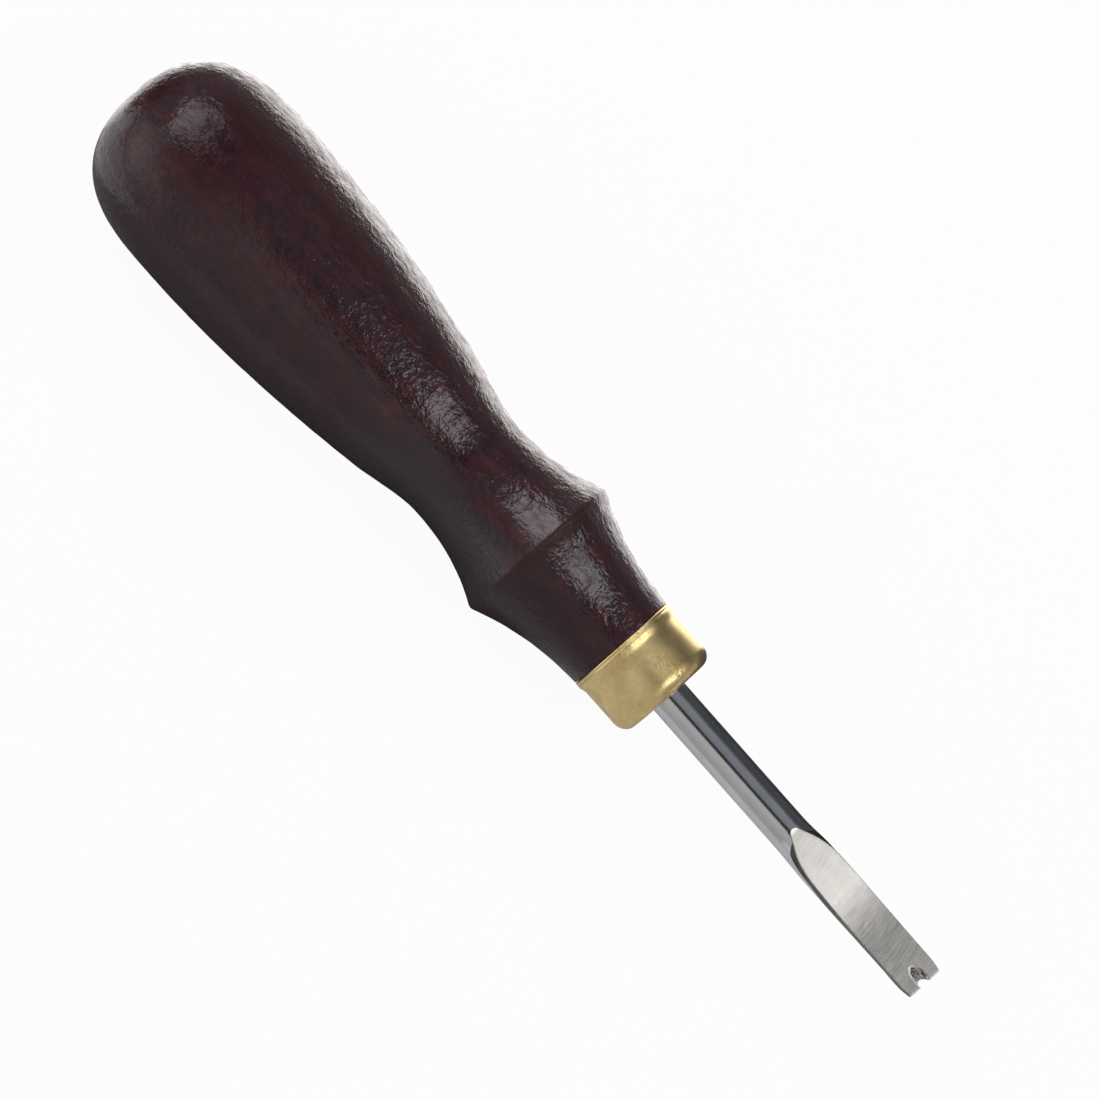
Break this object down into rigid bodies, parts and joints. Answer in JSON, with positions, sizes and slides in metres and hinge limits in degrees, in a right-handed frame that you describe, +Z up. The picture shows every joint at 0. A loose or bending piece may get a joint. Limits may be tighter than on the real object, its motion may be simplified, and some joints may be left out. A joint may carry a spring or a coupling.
{
  "type": "leather edge beveler",
  "caption": "Leather edge beveler: turned dark hardwood handle, brass ferrule and a round steel shank ending in a flat-ground tip whose notch rounds over leather edges.",
  "frame": {"origin": "on the surface that the tool lies on, below the middle of its length and on its axis seen from above", "axes": "+X along the tool toward the cutting tip, +Z up and square to the ground flat of the blade, +Y to the left of a hand that pushes the tool"},
  "size_m": [0.1594, 0.0294, 0.0293],
  "materials": {
    "wood": "dark red-brown stain under gloss lacquer",
    "brass": "satin, lightly tarnished",
    "steel": "polished round shank, flat ground across at the tip"
  },
  "bodies": {
    "root": {"handle": "wood", "ferrule": "brass", "blade": "steel"}
  },
  "joints": []
}
